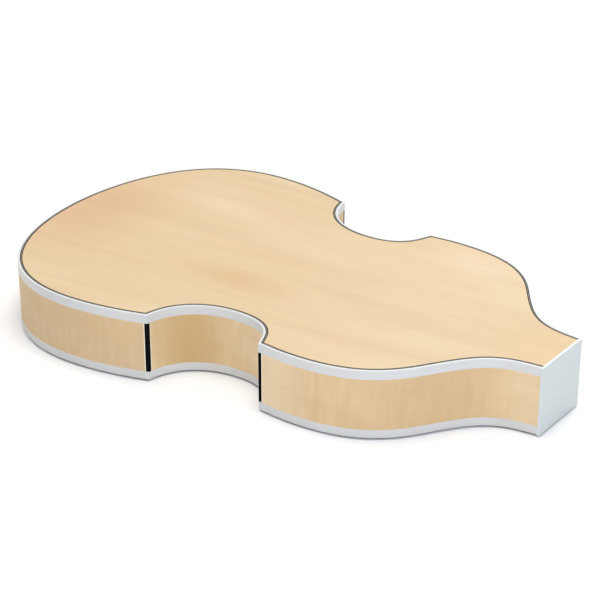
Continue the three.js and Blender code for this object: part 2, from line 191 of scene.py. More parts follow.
def at(curve, t):
    """The curve's points and unit directions at t, any array. Past its ends it runs on straight."""
    t = np.asarray(t, float)
    knots, points, bend = curve["t"], curve["points"], curve["bend"]
    held = np.clip(t, knots[0], knots[-1])
    i = np.clip(np.searchsorted(knots, held, side="right") - 1, 0, len(knots) - 2)
    step = (knots[i + 1] - knots[i])[..., None]
    b = (held - knots[i])[..., None] / step
    a = 1 - b
    place = a * points[i] + b * points[i + 1]
    place = place + ((a**3 - a) * bend[i] + (b**3 - b) * bend[i + 1]) * step**2 / 6
    slope = (points[i + 1] - points[i]) / step
    slope = slope + ((3 * b**2 - 1) * bend[i + 1] - (3 * a**2 - 1) * bend[i]) * step / 6
    direction = slope / np.linalg.norm(slope, axis=-1, keepdims=True)
    return place + direction * (t - held)[..., None], direction


def sharp_corners(points, degrees=30):
    """The numbers of the points where the outline turns by more than this."""
    normals = inward_normals(points)
    turn = np.degrees(np.arccos(np.clip((normals[1:] * normals[:-1]).sum(1), -1, 1)))
    return np.flatnonzero(turn > degrees) + 1


lower_end, waist_end = sharp_corners(half_outline)
mirror = np.array([1, -1])
half_lower = half_outline[: lower_end + 1]
RUNS = {
    "lower": spline(np.vstack([half_lower[:0:-1] * mirror, half_lower])),
    "waist": spline(half_outline[lower_end : waist_end + 1]),
    "upper": spline(half_outline[waist_end:]),
}
for run_name, run in RUNS.items():
    print(run_name, "run, mm long:", round(run["t"][-1], 1))

# %% [markdown]
# ## Where a run stops
#
# Plastic strips that meet at a corner are mitred: both are cut along the line that halves the
# corner. A strip has a thickness, so its inner face stops at another place along the run than
# its outer face. The place is found with a few steps of Newton's method: walk along the run until
# the distance to the cutting line is nought. At the neck end the cutting line is the end face.

# %% Find where a run meets its cutting lines, at every depth
NEWTON_STEPS = 6


def offset(run, t, depth):
    """The point at t on a run, moved inwards by depth along the normal to the curve."""
    place, direction = at(run, t)
    normal = np.stack([direction[..., 1], -direction[..., 0]], axis=-1)
    return place + np.asarray(depth)[..., None] * normal, direction


def halving_line(before, after):
    """A corner's cutting line, as a point on it and its normal: the mean of the two headings."""
    corner, arriving = at(before, before["t"][-1])
    _, leaving = at(after, 0.0)
    normal = arriving + leaving
    return corner, normal / np.linalg.norm(normal)


lower_corner = halving_line(RUNS["lower"], RUNS["waist"])
upper_corner = halving_line(RUNS["waist"], RUNS["upper"])
neck_end = (half_outline[-1], np.array([1.0, 0.0]))
far_corner = (lower_corner[0] * mirror, lower_corner[1] * np.array([-1, 1]))
CUTS = {
    "lower": (far_corner, lower_corner),
    "waist": (lower_corner, upper_corner),
    "upper": (upper_corner, neck_end),
}


def cut_at(run, start, line, depth):
    """The parameter at which the run, moved inwards by each depth, meets a line: Newton's steps
    of distance over rate from the given start."""
    point, normal = line
    t = np.full(np.shape(depth), float(start))
    for _ in range(NEWTON_STEPS):
        place, direction = offset(run, t, depth)
        t = t - ((place - point) @ normal) / (direction @ normal)
    return t


def mitred_ends(name, depth):
    """The parameters of both ends of a run at each depth."""
    run = RUNS[name]
    start, end = CUTS[name]
    return cut_at(run, 0, start, depth), cut_at(run, run["t"][-1], end, depth)


print("a binding's inner face is shorter by, mm:",
      [round(float(RUNS[name]["t"][-1] - np.subtract(*mitred_ends(name, 2.0)[::-1])), 2)
       for name in RUNS])

# %% [markdown]
# ## Carrying a section along a run
#
# A strip is its cross-section carried along the run. The section is a closed list of points, each
# a depth below the surface of the sides and a height. The result is a grid: one row for each
# station along the run, one column for each point of the section, closed by a face at each end.
# The first UV number is the distance along the run and the second the distance round the
# section, both in metres, so that a pattern can follow the bend of the wood.

# %% Turn grids into meshes
CREASE = math.radians(32)  # faces that meet at more than this keep a crisp edge
DOUBLED = 0.001 * MM  # points nearer than this are merged


def new_piece(name, points, faces, uv=None, merge=False):
    """A Blender object from points in mm and lists of corner numbers. Its faces are turned
    outwards when its volume, a sixth of the sum of a . (b x c) over its triangles, is negative."""
    mesh = bpy.data.meshes.new(name)
    mesh.from_pydata((np.asarray(points) * MM).tolist(), [], faces)
    if uv is not None:
        layer = mesh.uv_layers.new(name="grain")
        layer.data.foreach_set("uv", np.asarray(uv, np.float32).ravel())
    work = bmesh.new()
    work.from_mesh(mesh)
    if merge:
        bmesh.ops.remove_doubles(work, verts=work.verts, dist=DOUBLED)
    if work.calc_volume(signed=True) < 0:
        bmesh.ops.reverse_faces(work, faces=work.faces)
    work.to_mesh(mesh)
    work.free()
    mesh.shade_smooth()
    mesh.set_sharp_from_angle(angle=CREASE)
    piece = bpy.data.objects.new(name, mesh)
    bpy.context.scene.collection.objects.link(piece)
    return piece


def grid_faces(rows, columns):
    """The four-sided faces of a grid whose columns close on themselves."""
    r, c = np.meshgrid(np.arange(rows - 1), np.arange(columns), indexing="ij")
    right = (c + 1) % columns
    corners = [r * columns + c, (r + 1) * columns + c, (r + 1) * columns + right, r * columns + right]
    return np.stack(corners, axis=-1).reshape(-1, 4)


def swept(name, run, section, ends, side=1, step=2.0):
    """A closed section carried along a run. At station u, from 0 to 1, the column of depth d lies
    at t = start(d) + u (end(d) - start(d)). Stations are at most a step in mm apart, and side -1
    mirrors the piece to the other side."""
    depth, height = np.asarray(section, float).T
    start, end = ends
    stations = int(np.ceil((end - start).max() / step)) + 1
    u = np.linspace(0, 1, stations)[:, None]
    t = start + u * (end - start)
    flat, _ = offset(run, t, np.broadcast_to(depth, t.shape))
    points = np.concatenate([flat * [1, side], np.broadcast_to(height, t.shape)[..., None]], axis=-1)
    columns = len(depth)
    quads = grid_faces(stations, columns)
    round_section = np.linalg.norm(np.diff(np.vstack([section, section[:1]]), axis=0), axis=1)
    v = np.concatenate([[0], np.cumsum(round_section)])
    quad_column = quads[:, 0] % columns
    across = np.stack([v[quad_column], v[quad_column], v[quad_column + 1], v[quad_column + 1]], 1)
    uv = np.stack([t.ravel()[quads], across], axis=-1) * MM
    first, last = list(range(columns)), list(range((stations - 1) * columns, stations * columns))
    cap_uv = np.stack([depth, height], axis=-1) * MM
    uv = np.concatenate([uv.reshape(-1, 2), cap_uv, cap_uv[::-1]])
    faces = quads.tolist() + [first, last[::-1]]
    return new_piece(name, points.reshape(-1, 3), faces, uv)


def eased(section, radii, steps=4):
    """The section with some corners rounded: each corner with a radius becomes an arc that leaves
    its two edges at the distance radius / tan(half the angle between them)."""
    section = np.asarray(section, float)
    eased_points = []
    for i, point in enumerate(section):
        radius = radii.get(i, 0)
        if not radius:
            eased_points.append(point[None])
            continue
        to_before = section[i - 1] - point
        to_after = section[(i + 1) % len(section)] - point
        to_before /= np.linalg.norm(to_before)
        to_after /= np.linalg.norm(to_after)
        half_angle = math.acos(np.clip(to_before @ to_after, -1, 1)) / 2
        reach = radius / math.tan(half_angle)
        middle = point + (to_before + to_after) / np.linalg.norm(to_before + to_after) * (
            radius / math.sin(half_angle)
        )
        spokes = [point + to_before * reach - middle, point + to_after * reach - middle]
        sweep = math.acos(np.clip(spokes[0] @ spokes[1] / radius**2, -1, 1))
        share = np.linspace(0, 1, steps + 1)[:, None]
        arc = np.sin((1 - share) * sweep) * spokes[0] + np.sin(share * sweep) * spokes[1]
        eased_points.append(middle + arc / math.sin(sweep))
    return np.vstack(eased_points)


# %% [markdown]
# ## Sizes from the frame
#
# The depths of the layers at the rim are read at the waist, where the outline comes nearest to
# the middle of the box: the half-width there less a strip's own nearest point is the depth of its
# inner face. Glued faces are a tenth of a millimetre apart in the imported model. Here each strip
# reaches the middle of that gap, so that no dark slit shows.

# %% Measure the layers at the rim
def heights(node):
    """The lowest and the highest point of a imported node, in mm."""
    low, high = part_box(node)
    return low.z / MM, high.z / MM


waist_half_width = half_outline[lower_end : waist_end + 1, 1].min()


def inner_depth(node):
    """How deep a strip of the left waist reaches below the surface of the sides, in mm."""
    return waist_half_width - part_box(node)[0].y / MM


glue = (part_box("end_cap")[0].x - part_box("back_plate")[1].x) / MM
binding_depth = inner_depth("back_waist_binding_left") + glue / 2
purfling_depth = inner_depth("back_waist_purfling_left") + glue / 2
rib_depth = inner_depth("waist_rib_left")
print("binding, purfling and rib reach to depths, mm:",
      [round(float(d), 2) for d in (binding_depth, purfling_depth, rib_depth)])

# %% [markdown]
# ## Telling the frame what each piece stands for
#
# The box has no moving parts, so every piece rides on its one body. Each new piece replaces the
# imported node it was measured from, so the two never show at once, and takes its finish. Five
# strips go round each rim: one at the lower bout, and one on each side at the waist and at the
# upper bout.

# %% Book a piece in
SIDES = {"left": 1, "right": -1}


def stands_for(piece, node, slot_name, *finishes):
    """The piece rides on the one body of the box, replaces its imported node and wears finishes."""
    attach(piece, "root")
    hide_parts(node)
    for finish in finishes:
        piece.data.materials.append(finish)
    return piece


def rim_pieces():
    """(name of a strip's place, run, side) for the five strips that go round each rim."""
    yield "lower_{}", "lower", 1
    for run_name in ("waist", "upper"):
        for side_name, side in SIDES.items():
            yield run_name + "_{}_" + side_name, run_name, side


print("strips round each rim:", [place.format("binding") for place, _, _ in rim_pieces()])

# %% [markdown]
# ## Finishes
#
# Colours are written as the sRGB hex values that a paint program shows, and one function turns
# them into the linear light that the shader wants. The studio light is strong enough to wash the
# floor out to white, so a colour here is about a sixth darker than it reads in the picture. Every
# pattern is a noise on coordinates divided by a real size, so a grain line of 9 mm stays 9 mm.

# %% Colours and nodes
def linear(hex_colour):
    """sRGB to linear light: c / 12.92 below 0.04045, else ((c + 0.055) / 1.055) ** 2.4."""
    c = np.array([int(hex_colour[i : i + 2], 16) for i in (1, 3, 5)]) / 255
    light = np.where(c <= 0.04045, c / 12.92, ((c + 0.055) / 1.055) ** 2.4)
    return (*light.tolist(), 1.0)


def add(tree, kind, inputs, **settings):
    """Adds a node with its settings. Each input is linked to a socket or set to a value, and a
    hex colour is turned linear."""
    made = tree.nodes.new(kind)
    for key, value in settings.items():
        setattr(made, key, value)
    for key, value in inputs.items():
        if isinstance(value, bpy.types.NodeSocket):
            tree.links.new(value, made.inputs[key])
        else:
            made.inputs[key].default_value = linear(value) if isinstance(value, str) else value
    return made


def new_finish(name, roughness, ior):
    """An empty finish: the material, its node tree and its Principled shader."""
    finish = bpy.data.materials.new(name)
    finish.use_nodes = True
    shader = finish.node_tree.nodes["Principled BSDF"]
    shader.inputs["Roughness"].default_value = roughness
    shader.inputs["IOR"].default_value = ior
    return finish, finish.node_tree, shader


def figure(tree, place, size_mm, low, high, strength=1.0, detail=2.0, wander=0.0, slant=0.0):
    """Wood figure as a share from 0 to strength: noise with lumps of the given size in mm, the
    stretch of it from low to high spread over the whole range. A slant in degrees turns it."""
    per_metre = [1 / (size * MM) for size in size_mm]
    turned = add(tree, "ShaderNodeMapping", {"Vector": place, "Rotation": (0, 0, math.radians(slant))})
    sized = add(tree, "ShaderNodeMapping", {"Vector": turned.outputs[0], "Scale": per_metre})
    cloud = add(tree, "ShaderNodeTexNoise", {
        "Vector": sized.outputs[0], "Scale": 1.0, "Detail": detail, "Distortion": wander})
    spread = add(tree, "ShaderNodeMapRange", {
        "Value": cloud.outputs["Fac"], "From Min": low, "From Max": high, "To Max": strength})
    return spread.outputs["Result"]


def painted_shading_and_tint_patch(tree, place, middle_mm, reach_mm, strength):
    """A soft-edged patch, painted light and shade on the ribs, tint and painted shade on the back:
    strength at its middle, fading to nothing at its reach along each axis.
    """
    centred = add(tree, "ShaderNodeMapping", {
        "Vector": place, "Location": [-m / r for m, r in zip(middle_mm, reach_mm)],
        "Scale": [1 / (r * MM) for r in reach_mm]})
    fade = add(tree, "ShaderNodeTexGradient", {"Vector": centred.outputs[0]},
               gradient_type="SPHERICAL")
    soft = add(tree, "ShaderNodeMapRange", {"Value": fade.outputs["Fac"], "To Max": strength},
               interpolation_type="SMOOTHSTEP")
    return soft.outputs["Result"]


def surface(tree, shader, base, layers, height, depth_mm):
    """Gives the shader its colour and its relief. Each layer is a share and a tint, laid over what
    is below it: colour = (1 - share) colour + share tint. The height stands depth_mm proud."""
    colour = base
    for share, tint in layers:
        blend = add(tree, "ShaderNodeMix", {0: share, 6: colour, 7: tint}, data_type="RGBA")
        colour = blend.outputs[2]
    tilt = add(tree, "ShaderNodeBump", {"Height": height, "Distance": depth_mm * MM})
    tree.links.new(colour, shader.inputs["Base Color"])
    tree.links.new(tilt.outputs["Normal"], shader.inputs["Normal"])


print("a mid grey of #808080 is in linear light", round(linear("#808080")[0], 3))


# %% [markdown]
# ## Bare maple
#
# The back is a sheet of maple sawn nearly flat to the rings, glued up and sanded. It's cream,
# with long low-contrast bands where the rings come to the surface and next to no shine. Broad
# patches make it darker and warmer in places and paler in one; the large dark one over the tail is
# painted shade, where less light falls on that end. A wood texture made of rings would look like a
# plank of pine, so the bands are stretched noise instead, with a slight slant because a board is
# never sawn quite along its grain. Maple's IOR is about 1.5, and sanding leaves a roughness near 0.6.

# %% Finish for the back
# Each patch: middle and reach along X, Y and Z in mm, strength and tint.
PATCHES = [
    # painted shade: the whole tail end of the back is darkened where less light falls on it
    ((-207, 8, 54), (90, 135, 60), 0.55, "#bc9470"),
    ((-30, -40, 54), (75, 26, 60), 0.45, "#bb9067"),
    ((-45, 5, 54), (120, 18, 60), 0.2, "#c09a78"),
    ((105, 88, 54), (70, 40, 60), 0.35, "#d8c5a9"),
    ((228, 0, 54), (90, 60, 60), 0.45, "#c3a478"),
]


def sanded_maple():
    """From the bottom up: narrow rings, wide pale bands, patches of tone and of painted shade, a
    pinkish cast, fine lines.
    """
    finish, tree, shader = new_finish("sanded_maple_sheet", 0.6, 1.45)
    place = add(tree, "ShaderNodeTexCoord", {}).outputs["Object"]
    layers = [
        (figure(tree, place, (190, 13, 60), 0.4, 0.72, 0.42, wander=0.35, slant=-3), "#bba280"),
        (figure(tree, place, (300, 38, 60), 0.45, 0.7, 0.5, 1.0, wander=0.3, slant=-2), "#ccb998"),
    ]
    layers += [(painted_shading_and_tint_patch(tree, place, *patch), tint) for *patch, tint in PATCHES]
    layers += [
        (figure(tree, place, (130, 38, 60), 0.52, 0.8, 0.3, detail=1.0), "#c29e80"),
        (figure(tree, place, (55, 1.8, 20), 0.55, 0.8, 0.08, slant=-2), "#a37f53"),
    ]
    pores = figure(tree, place, (7, 0.6, 3), 0.3, 0.7)
    surface(tree, shader, "#c5ae8a", layers, pores, 0.015)
    return finish


BACK_MAPLE = sanded_maple()
print("finish for the back:", BACK_MAPLE.name)

# %% [markdown]
# ## Flamed maple
#
# The ribs are strips of maple sawn on the quarter, planed to about 2.4 mm and bent hot. Their
# fibres wave, so soft bars stand across the strip. The bars follow the bend, so the pattern reads
# the "grain" UV, whose first number is the distance along the strip. The patches along each rib
# are painted light and painted shade, lighter and darker where the light falls on its bend.

# %% Finish for the ribs
RIB_MIDDLE, PATCH_HEIGHT = 25, 120  # across the rib, in mm: a patch fades little over its height


def flamed_maple(name, light, dark, cloud_tint, patches):
    """Each rib gets its own light and dark, and its own patches of painted light and shade."""
    finish, tree, shader = new_finish(name, 0.55, 1.45)
    place = add(tree, "ShaderNodeUVMap", {}, uv_map="grain").outputs["UV"]
    flame = figure(tree, place, (6, 45, 6), 0.3, 0.72, 0.9, wander=0.4, slant=3)
    layers = [(flame, dark)]
    for middle, reach, strength, tint in patches:
        share = painted_shading_and_tint_patch(tree, place, (middle, RIB_MIDDLE, 0), (reach, PATCH_HEIGHT, 100), strength)
        layers.append((share, tint))
    layers += [
        (figure(tree, place, (50, 20, 30), 0.4, 0.7, 0.35, wander=0.3), cloud_tint),
        (figure(tree, place, (35, 1.3, 20), 0.5, 0.8, 0.08), "#b39163"),
    ]
    surface(tree, shader, light, layers, flame, 0.02)
    return finish


# Each patch: its middle along the rib and its reach in mm, its strength and its tint. All are
# painted light and shade: the waist is shaded in its hollow by the lower corner and lit at its far
# end, and the upper rib is lit by its corner and at the neck end and shaded in the middle, where it
# turns towards the neck end and away from the light.
WAIST_PAINTED_LIGHT_AND_SHADE = [(34, 44, 0.9, "#bf9b66"), (118, 42, 0.9, "#efdcbb")]
UPPER_PAINTED_LIGHT_AND_SHADE = [(6, 50, 0.6, "#e8d4b0"), (135, 80, 0.55, "#c5a378"), (205, 40, 0.6, "#e4cda6")]
RIB_MAPLES = {
    "lower": flamed_maple("flamed_maple_lower_rib", "#cfb48d", "#c7ab83", "#c9a979", []),
    "waist": flamed_maple("flamed_maple_waist_rib", "#dcc39c", "#d2b78d", "#c8a573", WAIST_PAINTED_LIGHT_AND_SHADE),
    "upper": flamed_maple("flamed_maple_upper_rib", "#d6ba91", "#ccac81", "#c8a67a", UPPER_PAINTED_LIGHT_AND_SHADE),
}
print("finishes for the ribs:", [rib_finish.name for rib_finish in RIB_MAPLES.values()])

# %% [markdown]
# ## Plastic, fibre and the inner woods
#
# The bindings and the end sheet are white ABS, scraped and sanded level with the wood, so they
# have a low sheen, faint clouds and short fine marks. The corner strips and the dark plies are
# dyed fibre that drinks the light, so their shine is turned down well below that of plastic.
# What lies inside the box is basswood and spruce, left as sawn or planed.

# %% Finishes for strips and inner pieces
def scraped(name, base, cloud_colour, roughness, ior=1.46, shine=0.5):
    """An even colour with faint clouding and scraper marks."""
    finish, tree, shader = new_finish(name, roughness, ior)
    shader.inputs["Specular IOR Level"].default_value = shine
    place = add(tree, "ShaderNodeTexCoord", {}).outputs["Object"]
    clouds = figure(tree, place, (30, 30, 10), 0.4, 0.8, 0.7)
    marks = figure(tree, place, (2, 2, 0.6), 0.3, 0.7)
    surface(tree, shader, base, [(clouds, cloud_colour)], marks, 0.008)
    return finish


def planed(name, base, ring_colour, size_mm):
    """Straight-grained wood as it comes off the plane or the saw."""
    finish, tree, shader = new_finish(name, 0.65, 1.45)
    place = add(tree, "ShaderNodeTexCoord", {}).outputs["Object"]
    rings = figure(tree, place, size_mm, 0.35, 0.7, wander=0.2)
    surface(tree, shader, base, [(rings, ring_colour)], rings, 0.03)
    return finish


BINDING_WHITE = scraped("white_abs_binding", "#c9c9c8", "#c3c2c0", 0.4)
# The end sheet is the binding's white ABS in its own cooler tone: painted light, standing in for the
# cooler, weaker light on the face of the neck end.
CAP_WHITE_PAINTED_LIGHT = scraped("white_abs_sheet", "#c9cecc", "#c2c7c6", 0.42)
STRIP_BLACK = scraped("black_fibre_strip", "#070605", "#0d0b0a", 0.6, 1.3, 0.1)
PLY_BLACK = scraped("black_fibre_ply", "#080707", "#100f0e", 0.6, 1.3, 0.1)
PLY_WHITE = scraped("white_fibre_ply", "#a8a399", "#9d978c", 0.5)
PINSTRIPE_WHITE = scraped("white_abs_pinstripe", "#efeadd", "#e6e0d2", 0.45)
FRONT_SPRUCE = planed("sanded_spruce_sheet", "#c9b286", "#ba9d70", (160, 1.6, 20))
BLOCK_WOOD = planed("sawn_basswood_block", "#bfa981", "#b0976d", (6, 6, 60))
BAR_SPRUCE = planed("planed_spruce_bar", "#c2a97c", "#b18f62", (60, 1.4, 1.4))
print("finishes:", len(bpy.data.materials))

# %% [markdown]
# ## Bindings
#
# The white binding is let into the edge of the box and scraped level. Its section is a tall
# rectangle. Only its outer edge at the face of the box is rounded: just broken on the back, rounded
# further on the front, which rests on the floor. The edges against the wood stay square, so the
# joints stay crisp.

# %% Bend the bindings
def rim_section(outside, inside, low, high):
    """A rectangle between two depths and two heights, from the outer bottom corner upwards."""
    return [(outside, low), (outside, high), (inside, high), (inside, low)]


EDGE_ROUNDING = {"back": 0.35, "front": 1.1}
for rim, outer_corner in (("back", 1), ("front", 0)):
    for place_name, run_name, side in rim_pieces():
        node = rim + "_" + place_name.format("binding")
        section = eased(
            rim_section(0, binding_depth, *heights(node)), {outer_corner: EDGE_ROUNDING[rim]}
        )
        piece = swept(node + "_strip", RUNS[run_name], section,
                      mitred_ends(run_name, section[:, 0]), side)
        stands_for(piece, node, "white_binding", BINDING_WHITE)
    print("bindings of the", rim, "stand between, mm:", np.round(heights(node), 2))

# %% [markdown]
# ## Purfling
#
# Purfling is three thin plies glued side by side: black, white and black. All three are one strip
# here. Its section has extra points on the top and bottom where one ply meets the next, and each
# face takes its ply's finish from the column of the grid that it came from.

# %% Bend the purfling
PLY_WIDTHS = (0.75, 0.3, 0.75)
PLIES = len(PLY_WIDTHS)


def purfling_section(node):
    """Depth grows ply by ply along the top and shrinks again along the bottom."""
    low, high = heights(node)
    shares = np.cumsum([0, *PLY_WIDTHS]) / sum(PLY_WIDTHS)
    depths = binding_depth + shares * (purfling_depth - binding_depth)
    top = np.stack([depths, np.full(PLIES + 1, high)], axis=1)
    bottom = np.stack([depths[::-1], np.full(PLIES + 1, low)], axis=1)
    return np.vstack([top, bottom])


def ply_of_column(column):
    """The ply that a column of the section's grid belongs to: its sides belong to the outer and
    the inner ply."""
    on_top = np.clip(column, 0, PLIES - 1)
    on_bottom = np.clip(2 * PLIES - column, 0, PLIES - 1)
    ply = np.where(column <= PLIES, on_top, on_bottom)
    return np.where(column == 2 * PLIES + 1, 0, ply)


for rim in ("back", "front"):
    for place_name, run_name, side in rim_pieces():
        node = rim + "_" + place_name.format("purfling")
        section = purfling_section(node)
        piece = swept(node + "_plies", RUNS[run_name], section,
                      mitred_ends(run_name, section[:, 0]), side)
        stands_for(piece, node, "purfling_ply", PLY_BLACK, PLY_WHITE)
        faces = np.arange(len(piece.data.polygons))
        ply = ply_of_column(faces % len(section))
        piece.data.polygons.foreach_set("material_index", (ply % 2).astype(np.int32))
    print("faces of the white ply in the last strip of the", rim + ":", int((ply == 1).sum()))

# %% [markdown]
# ## Ribs
#
# A rib keeps its full thickness between the bindings and is rabbeted above and below to let them
# in, so its section is a T on its side. Ribs stop square, just short of the corner strips, and
# the two lower ribs meet at the tail.

# %% Bend the ribs
rib_floor, rib_roof = heights("waist_rib_left")
wood_low = heights("front_waist_binding_left")[1]
wood_high = heights("back_waist_binding_left")[0]
RIB_SECTION = [
    (0, wood_low), (0, wood_high), (binding_depth, wood_high), (binding_depth, rib_roof),
    (rib_depth, rib_roof), (rib_depth, rib_floor), (binding_depth, rib_floor),
    (binding_depth, wood_low),
]


def reach(node, corner, heading):
    """How far a left node's points lie from a corner, measured against a heading, in mm."""
    points = node_triangles(node).reshape(-1, 3)[:, :2]
    return float(((points - corner) @ -heading).max())


def corner_trim(node, corner_line, run, back_from_end):
    """How far along a run the corner piece reaches, from the corner."""
    corner, _ = corner_line
    t = run["t"][-1] if back_from_end else 0.0
    _, heading = at(run, t)
    return reach(node, corner, heading if back_from_end else -heading)


lower_trim = corner_trim("lower_corner_pinstripe_left", lower_corner, RUNS["lower"], True)
upper_trim = corner_trim("upper_corner_pinstripe_left", upper_corner, RUNS["upper"], False)
lower_length = RUNS["lower"]["t"][-1]
tail = lower_length / 2
RIB_ENDS = {
    "lower": (tail + glue / 2, lower_length - lower_trim),
    "waist": (lower_trim, RUNS["waist"]["t"][-1] - upper_trim),
    "upper": (upper_trim, None),
}
for run_name, (start, end) in RIB_ENDS.items():
    for side_name, side in SIDES.items():
        node = run_name + "_rib_" + side_name
        section = np.array(RIB_SECTION, float)
        neck_ends = mitred_ends(run_name, section[:, 0])[1]
        last = neck_ends if end is None else np.full(len(section), end)
        piece = swept(node + "_bent", RUNS[run_name], section,
                      (np.full(len(section), start), last), side)
        stands_for(piece, node, "rib_maple", RIB_MAPLES[run_name])
print("ribs stop short of the corners by, mm:", round(lower_trim, 2), round(upper_trim, 2))

# %% [markdown]
# ## Plates
#
# A plate is one closed grid as well. Its rows are stations from the tail to the neck end. Its
# columns run once round the plate: across the outer face from right to left, down the stepped
# edge, back across the inner face and up the other edge. A face point lies at the share v of the
# half-width, from -1 to 1, so the grid narrows with the outline. At the tail the row shrinks to
# the middle line, where doubled points are merged.

# %% Lay out a plate
def half_rail(depth, step=2.0):
    """The left half of the outline at one depth, from the tail to the neck end, mitred."""
    rails = []
    for run_name, run in RUNS.items():
        start, end = mitred_ends(run_name, np.array([depth]))
        if run_name == "lower":
            start = np.array([tail])
        stations = int(np.ceil((run["t"][-1] - (tail if run_name == "lower" else 0)) / step)) + 1
        t = np.linspace(start[0], end[0], stations)
        points, _ = offset(run, t, np.full(stations, depth))
        rails.append(points if run_name == "lower" else points[1:])
    return np.vstack(rails)


def plate_grid(name, outer, step_height, inner, columns=25):
    """outer, step_height and inner are the heights of the outer face, of the step that the
    purfling lies on and of the inner face."""
    narrow = half_rail(purfling_depth)
    wide = half_rail(binding_depth)
    across = np.linspace(-1, 1, columns)
    face = [(narrow, v, outer) for v in across]
    left_edge = [(narrow, 1, step_height), (wide, 1, step_height)]
    back_face = [(wide, v, inner) for v in across[::-1]]
    right_edge = [(wide, -1, step_height), (narrow, -1, step_height)]
    ring = face + left_edge + back_face + right_edge
    points = np.stack(
        [np.column_stack([rail[:, 0], rail[:, 1] * v, np.full(len(rail), z)]) for rail, v, z in ring],
        axis=1,
    )
    rows, count = points.shape[:2]
    end = list(range((rows - 1) * count, rows * count))[::-1]
    faces = grid_faces(rows, count).tolist() + [end]
    return new_piece(name, points.reshape(-1, 3), faces, merge=True)


back_inner, back_outer = heights("back_plate")
front_outer, front_inner = heights("front_plate")
back_step = heights("back_waist_purfling_left")[0] - glue
front_step = heights("front_waist_purfling_left")[1] + glue
back = plate_grid("back_plate_sheet", back_outer, back_step, back_inner)
stands_for(back, "back_plate", "back_maple", BACK_MAPLE)
front = plate_grid("front_plate_sheet", front_outer, front_step, front_inner)
stands_for(front, "front_plate", "front_spruce", FRONT_SPRUCE)
print("thickness of back and front, mm:", round(back_outer - back_inner, 2),
      round(front_inner - front_outer, 2))

# %% [markdown]
# ## Sound holes
#
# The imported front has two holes, and their loops are read as the outline was. Each loop is cut
# at its sharp turns, where an eye meets the stem, and splined in between. The smooth loop is
# made a block that goes right through the front, and a Boolean modifier saws it out.

# %% Saw out the sound holes
SAW_OVERRUN = 1.0  # how far the block stands out of each face of the front, in mm


def smooth_loop(loop, step=0.85):
    """A closed loop splined between its sharp turns, with points at most a step in mm apart."""
    start = int(sharp_corners(np.vstack([loop, loop[:1]]))[0])
    ring = np.roll(loop, -start, axis=0)
    ring = np.vstack([ring, ring[:1]])
    stops = [0, *sharp_corners(ring).tolist(), len(ring) - 1]
    pieces_of_loop = []
    for first, last in zip(stops[:-1], stops[1:]):
        part = spline(ring[first : last + 1])
        count = max(2, int(np.ceil(part["t"][-1] / step)) + 1)
        points, _ = at(part, np.linspace(0, part["t"][-1], count))
        pieces_of_loop.append(points[:-1])
    return np.vstack(pieces_of_loop)


def upright_block(name, loop, low, high):
    """A prism: the loop at two heights with a face at each end and a face along each edge."""
    count = len(loop)
    points = np.vstack([np.column_stack([loop, np.full(count, z)]) for z in (low, high)])
    faces = grid_faces(2, count).tolist()
    faces += [list(range(count)), list(range(count, 2 * count))[::-1]]
    return new_piece(name, points, faces)


def apply_modifiers(piece):
    """Puts the result of a piece's modifiers into its mesh and takes the modifiers away."""
    evaluated = piece.evaluated_get(bpy.context.evaluated_depsgraph_get())
    mesh = bpy.data.meshes.new_from_object(evaluated)
    piece.modifiers.clear()
    piece.data = mesh


for number, loop in enumerate(bottom_loops("front_plate")[1:]):
    cutter = upright_block(f"hole_cutter_{number}", smooth_loop(loop),
                           front_outer - SAW_OVERRUN, front_inner + SAW_OVERRUN)
    saw = front.modifiers.new("sound_hole", "BOOLEAN")
    saw.operation = "DIFFERENCE"
    saw.solver = "EXACT"
    saw.object = cutter
    apply_modifiers(front)
    bpy.data.objects.remove(cutter)
front.data.set_sharp_from_angle(angle=CREASE)
print("front plate faces:", len(front.data.polygons))

# %% [markdown]
# ## Corner strips
#
# At each corner a black strip covers the ends of the two ribs, and a light pinstripe shows on
# both sides of it. Seen from above, the black strip is a V that follows the outline for a couple
# of millimetres each way. The pinstripe is a wider V behind it with two returns that come up to
# the surface. Both are prisms whose plan is worked out on the smooth runs.

# %% Set in the corner strips
LEG_POINTS = 5
STRIP_DEPTH = 1.2
TIP_ROUNDING = 0.5


def corner_path(before, after, corner_line, length, depth):
    """The plan of the outline over a corner at one depth: back along the run before it, through
    the mitred corner and on along the run after it."""
    end = before["t"][-1]
    mitre_before = cut_at(before, end, corner_line, np.array([depth]))[0]
    mitre_after = cut_at(after, 0, corner_line, np.array([depth]))[0]
    depths = np.full(LEG_POINTS, depth)
    arriving, _ = offset(before, np.linspace(end - length, mitre_before, LEG_POINTS), depths)
    leaving, _ = offset(after, np.linspace(mitre_after, length, LEG_POINTS), depths)
    return np.vstack([arriving, leaving[1:]])


def strip_reach(node, corner_line, run, back_from_end):
    """How far the black strip follows a run: to the middle of its glue gap."""
    return corner_trim(node, corner_line, run, back_from_end) + glue / 2


